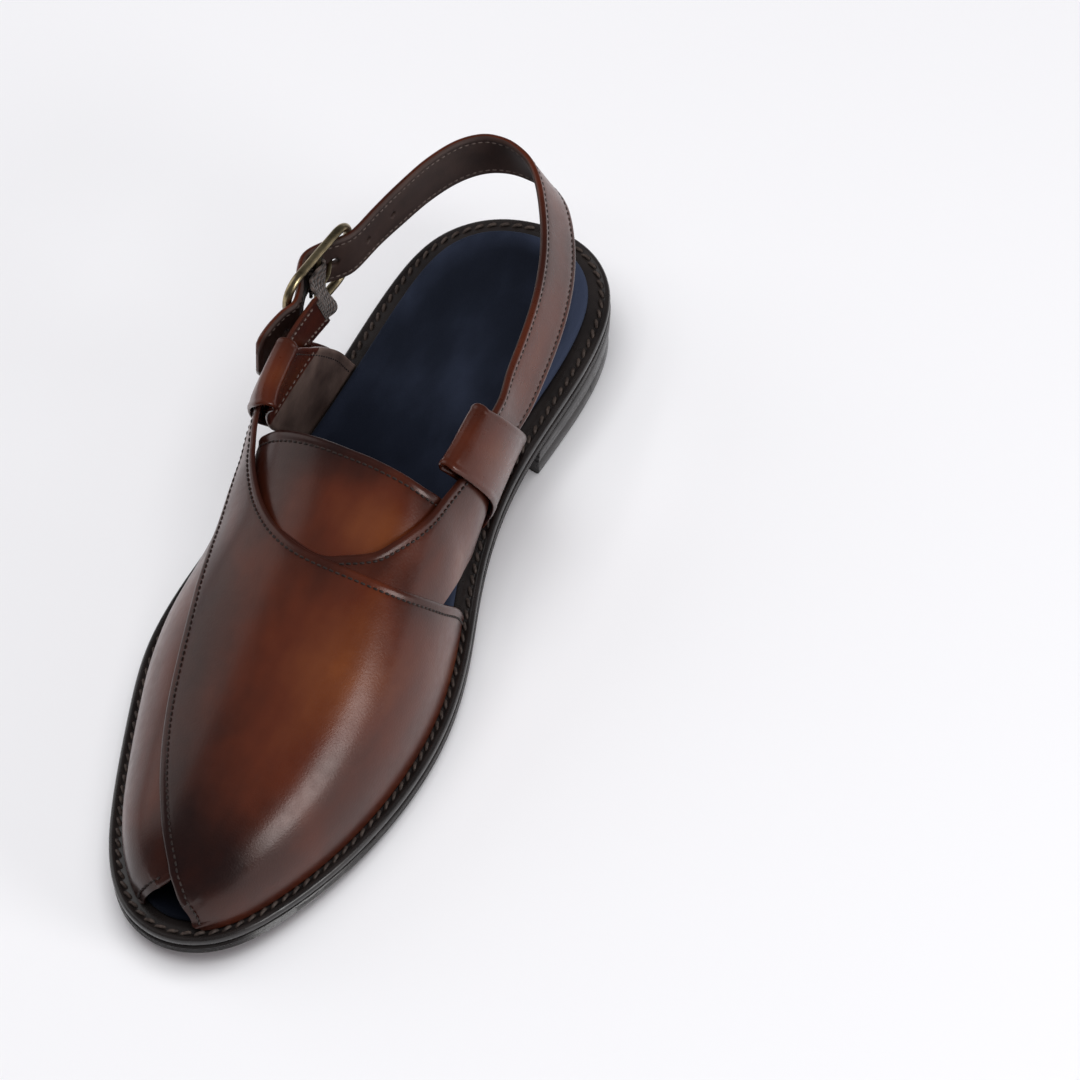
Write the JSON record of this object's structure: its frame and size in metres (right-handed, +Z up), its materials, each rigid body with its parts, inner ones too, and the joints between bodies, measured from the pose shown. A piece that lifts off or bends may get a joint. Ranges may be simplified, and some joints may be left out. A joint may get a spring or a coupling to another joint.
{
  "type": "peshawari chappal",
  "caption": "Right-foot leather sandal with crossed front panels, side loops, a buckled elastic back strap, stitched welt and flat stacked heel.",
  "frame": {"origin": "on the floor under the middle of the sole's length and width", "axes": "+Z up, -Y to the toe, +Y to the heel, +X to the medial side of this right shoe, -X to its buckle side"},
  "size_m": [0.1047, 0.302, 0.0806],
  "materials": {
    "burnished_leather": "glossy brown leather, lighter in the middle of each panel and darker at the edges",
    "strap_leather": "glossy brown leather with folded edges",
    "sole_edge": "black satin edge paint",
    "sole_oxblood": "dark red satin with an embossed border",
    "grip_rubber": "black matt rubber",
    "navy_suede": "navy suede nap",
    "antique_brass": "darkened brass wire",
    "woven_elastic": "coarse taupe weave"
  },
  "bodies": {
    "root": {"outsole": "sole_oxblood", "welt": "sole_edge", "insole": "navy_suede", "heel_block": "sole_edge", "heel_lift_rear": "grip_rubber", "heel_lift_front": "sole_oxblood", "forefoot_grip": "grip_rubber", "upper": "burnished_leather", "instep_tongue": "burnished_leather", "side_loop_medial": "burnished_leather", "side_loop_lateral": "burnished_leather", "back_strap": "strap_leather", "buckle_frame": "antique_brass", "buckle_prong": "antique_brass", "elastic_webbing": "woven_elastic"}
  },
  "joints": []
}
